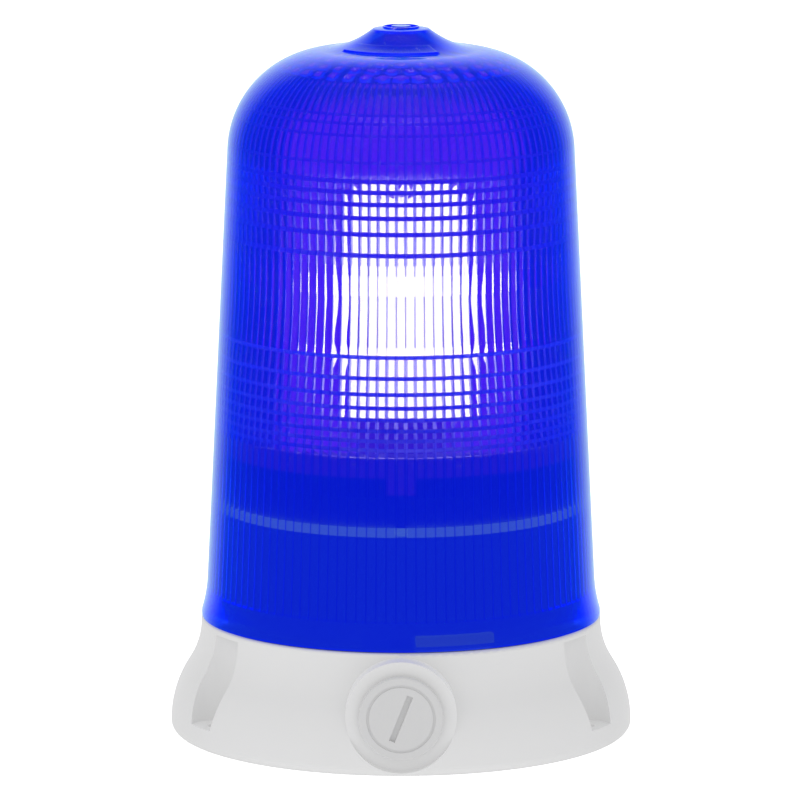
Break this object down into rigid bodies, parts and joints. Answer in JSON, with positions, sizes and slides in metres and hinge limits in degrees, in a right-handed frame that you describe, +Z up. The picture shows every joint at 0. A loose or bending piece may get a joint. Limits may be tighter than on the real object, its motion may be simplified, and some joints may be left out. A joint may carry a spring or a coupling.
{
  "type": "strobe light",
  "caption": "Surface-mount strobe beacon: flared grey base, fluted blue lens on a bayonet, plugged cable entry, xenon tube inside.",
  "frame": {"origin": "centre of the base's underside", "axes": "+Z up along the lens's axis; the plugged cable entry faces -Y"},
  "size_m": [0.142, 0.142, 0.2181],
  "materials": {
    "grey_abs": "satin moulded",
    "grey_plug": "satin moulded",
    "black_foam": "closed-cell foam",
    "grey_rubber": "moulded",
    "pale_abs": "moulded",
    "white_plastic": "moulded",
    "dark_plastic": "moulded",
    "clear_cover": "clear",
    "blue_lens": "clear, moulded",
    "tube_glass": "clear",
    "tungsten": "dull",
    "nickel_brass": "nickel plated",
    "zinc_steel": "zinc plated",
    "epoxy_resin": "cast",
    "board_laminate": "solder resist",
    "capacitor_sleeve": "shrink sleeve",
    "ferrite": "sintered",
    "winding_tape": "tape",
    "heatsink_aluminium": "extruded",
    "film_case": "moulded",
    "resistor_body": "lacquered",
    "varistor_coat": "dipped",
    "fuse_glass": "clear",
    "terminal_plastic": "moulded"
  },
  "bodies": {
    "base": {"base_housing": "grey_abs", "base_gasket": "black_foam", "cable_grommet": "grey_rubber", "lens_seal": "grey_rubber", "chassis_plate": "pale_abs", "chassis_screws": "zinc_steel", "lamp_drum": "dark_plastic", "drum_screws": "zinc_steel", "reflector_disc": "white_plastic", "inner_cover": "clear_cover", "lamp_socket": "dark_plastic", "socket_screws": "zinc_steel", "tube_base": "dark_plastic", "base_pins": "nickel_brass", "flash_tube": "tube_glass", "tube_electrodes": "tungsten", "trigger_bands": "nickel_brass", "trigger_transformer": "epoxy_resin", "circuit_board": "board_laminate", "board_screws": "zinc_steel", "main_capacitors": "capacitor_sleeve", "transformer_core": "ferrite", "transformer_winding": "winding_tape", "heatsink": "heatsink_aluminium", "power_transistor": "dark_plastic", "film_capacitor": "film_case", "resistors": "resistor_body", "varistor": "varistor_coat", "fuse": "fuse_glass", "fuse_clips": "nickel_brass", "terminal_block": "terminal_plastic", "terminal_screws": "zinc_steel"},
    "lens": {"lens": "blue_lens"},
    "plug_washer": {"plug_washer": "grey_rubber"},
    "plug": {"blanking_plug": "grey_plug"}
  },
  "joints": [
    {"name": "lens_turn", "type": "hinge", "parent": "base", "child": "lens", "pos_m": [0, 0, 0.05], "axis": [0, 0, 1], "range_deg": [0, 63]},
    {"name": "plug_travel", "type": "slide", "parent": "base", "child": "plug_washer", "axis": [0, -1, 0], "range_m": [0, 0.0084]},
    {"name": "plug_turn", "type": "hinge", "parent": "plug_washer", "child": "plug", "pos_m": [0, -0.0675, 0.018], "axis": [0, -1, 0], "range_deg": [0, 1980]}
  ],
  "couplings": [
    {"joint": "plug_travel", "follows": "plug_turn", "m_per_rad": 0.00023873}
  ]
}
